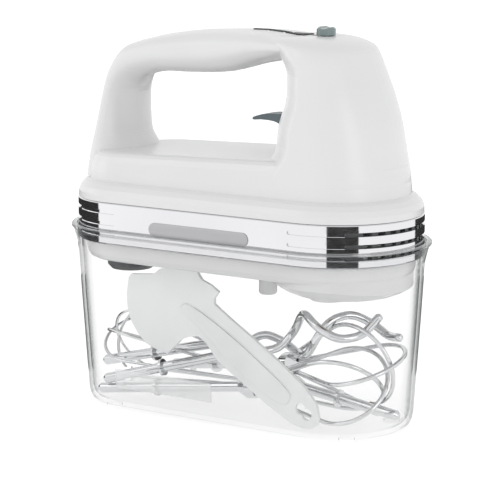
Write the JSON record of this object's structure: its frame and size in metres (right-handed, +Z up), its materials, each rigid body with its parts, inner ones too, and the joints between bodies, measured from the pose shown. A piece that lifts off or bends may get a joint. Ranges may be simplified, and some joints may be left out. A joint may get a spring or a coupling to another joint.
{
  "type": "hand mixer",
  "caption": "Hand mixer with a closed top handle, bright vented band, motor and twin beater drive, standing on its clear storage case with beaters, whisk, dough hooks and spatula inside.",
  "frame": {"origin": "centre of the bounding box's bottom, under the middle of the storage case, on the floor plane", "axes": "+X towards the nose of the mixer where the beaters fit, +Y to its left, +Z up"},
  "size_m": [0.2144, 0.1012, 0.2161],
  "materials": {
    "clear_case": "clear glossy plastic",
    "frosted_panel": "frosted",
    "bright_steel": "polished stainless wire",
    "milky_plastic": "milky translucent",
    "white_shell": "glossy white",
    "chrome": "bright plated",
    "dark_plastic": "satin dark grey",
    "badge_metal": "satin",
    "display": "glossy smoked",
    "grey_plastic": "satin",
    "grey_green_plastic": "satin",
    "slate_plastic": "satin slate grey",
    "pcb": "solder mask",
    "steel": "turned",
    "nylon": "natural nylon",
    "cast_alloy": "die cast",
    "bronze": "sintered",
    "laminations": "stacked sheet",
    "copper": "enamelled wire",
    "brass": "stamped",
    "carbon": "pressed carbon",
    "wire_jacket": "insulated wire"
  },
  "bodies": {
    "case": {"storage_case": "clear_case", "case_feet": "clear_case", "case_badge": "frosted_panel", "spatula": "milky_plastic", "beater_a_shaft": "bright_steel", "beater_a_wires": "bright_steel", "beater_b_shaft": "bright_steel", "beater_b_wires": "bright_steel", "whisk_shaft": "bright_steel", "whisk_ferrule": "bright_steel", "whisk_wires": "bright_steel", "dough_hook_a": "bright_steel", "dough_hook_b": "bright_steel"},
    "mixer": {"band_badge": "badge_metal", "bearing_bracket": "dark_plastic", "brush_holders": "brass", "carbon_brushes": "carbon", "chrome_band": "chrome", "control_pcb": "pcb", "display_lens": "display", "display_module": "dark_plastic", "ejector_spring": "steel", "field_coils": "copper", "gear_frame": "cast_alloy", "housing_screws": "steel", "internal_wiring": "wire_jacket", "lever_pin": "steel", "lower_housing": "white_shell", "motor_bearings": "bronze", "spindle_bushes_left": "bronze", "spindle_bushes_right": "bronze", "stator_core": "laminations", "switch_module": "dark_plastic", "tact_switches": "dark_plastic", "upper_housing_left": "white_shell", "upper_housing_right": "white_shell", "vent_liner": "dark_plastic"},
    "armature": {"motor_shaft": "steel", "armature_core": "laminations", "armature_windings": "copper", "commutator": "copper", "cooling_fan": "dark_plastic"},
    "spindle_l": {"spindle_left": "steel", "worm_wheel_left": "nylon"},
    "spindle_r": {"spindle_right": "steel", "worm_wheel_right": "nylon"},
    "power_slider": {"power_switch": "grey_green_plastic"},
    "button_minus": {"speed_button_minus": "grey_plastic"},
    "button_plus": {"speed_button_plus": "grey_plastic"},
    "eject_lever_body": {"eject_lever": "slate_plastic"},
    "ejector": {"ejector_bridge": "nylon"},
    "cord_swivel_body": {"cord_swivel": "dark_plastic"}
  },
  "joints": [
    {"name": "mixer_lift", "type": "slide", "parent": "case", "child": "mixer", "axis": [0, 0, 1], "range_m": [0, 0.32]},
    {"name": "motor_spin", "type": "hinge", "parent": "mixer", "child": "armature", "pos_m": [0, 0, 0.114], "axis": [1, 0, 0], "continuous": true},
    {"name": "spindle_left_spin", "type": "hinge", "parent": "mixer", "child": "spindle_l", "pos_m": [0.062, 0.017, 0.114], "axis": [0, 0, 1], "continuous": true},
    {"name": "spindle_right_spin", "type": "hinge", "parent": "mixer", "child": "spindle_r", "pos_m": [0.062, -0.017, 0.114], "axis": [0, 0, 1], "continuous": true},
    {"name": "power_slide", "type": "slide", "parent": "mixer", "child": "power_slider", "axis": [-1, 0, 0], "range_m": [0, 0.005]},
    {"name": "minus_press", "type": "slide", "parent": "mixer", "child": "button_minus", "axis": [0, 0, -1], "range_m": [0, 0.0008], "stiffness_N_per_m": 1500, "springref_m": -0.0002},
    {"name": "plus_press", "type": "slide", "parent": "mixer", "child": "button_plus", "axis": [0, 0, -1], "range_m": [0, 0.0008], "stiffness_N_per_m": 1500, "springref_m": -0.0002},
    {"name": "eject_pull", "type": "hinge", "parent": "mixer", "child": "eject_lever_body", "pos_m": [0.035, 0, 0.1644], "axis": [0, 1, 0], "range_deg": [0, 12], "stiffness_Nm_per_rad": 0.3, "springref_deg": -3.44},
    {"name": "ejector_drop", "type": "slide", "parent": "mixer", "child": "ejector", "axis": [0, 0, -1], "range_m": [0, 0.0042], "deforming": ["ejector_spring"]},
    {"name": "cord_swivel_turn", "type": "hinge", "parent": "mixer", "child": "cord_swivel_body", "pos_m": [-0.08, 0, 0.078], "axis": [0, 0, 1], "range_deg": [-90, 90]}
  ],
  "couplings": [
    {"joint": "spindle_left_spin", "follows": "motor_spin", "ratio": -0.038462},
    {"joint": "spindle_right_spin", "follows": "motor_spin", "ratio": 0.038462},
    {"joint": "ejector_drop", "follows": "eject_pull", "m_per_rad": 0.02}
  ]
}
